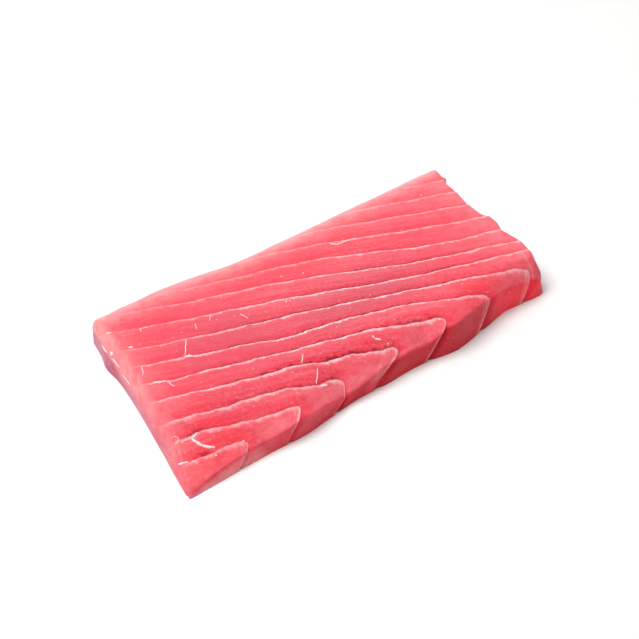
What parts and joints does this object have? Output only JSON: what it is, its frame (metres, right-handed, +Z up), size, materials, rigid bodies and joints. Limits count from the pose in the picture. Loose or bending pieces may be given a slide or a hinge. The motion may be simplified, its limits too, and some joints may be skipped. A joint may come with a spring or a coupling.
{
  "type": "raw tuna steak",
  "caption": "Flat slab of raw tuna loin cut on a slant, with white seams between stepped flakes, a long near side that slopes down to a low scalloped wall, rolled edges and a flat underside that it rests on.",
  "frame": {"origin": "middle of the underside, at the centre of the part's outline as a box, where it rests on its surface", "axes": "+X along the steak's length, from its thin rolled left end to its cut right end; +Y across it, from the lobed near side to the rolled far side; +Z up through its thickness"},
  "size_m": [0.319, 0.1514, 0.0217],
  "materials": {
    "tuna_flesh": "moist, soft sheen"
  },
  "bodies": {
    "root": {"tuna_steak": "tuna_flesh"}
  },
  "joints": []
}
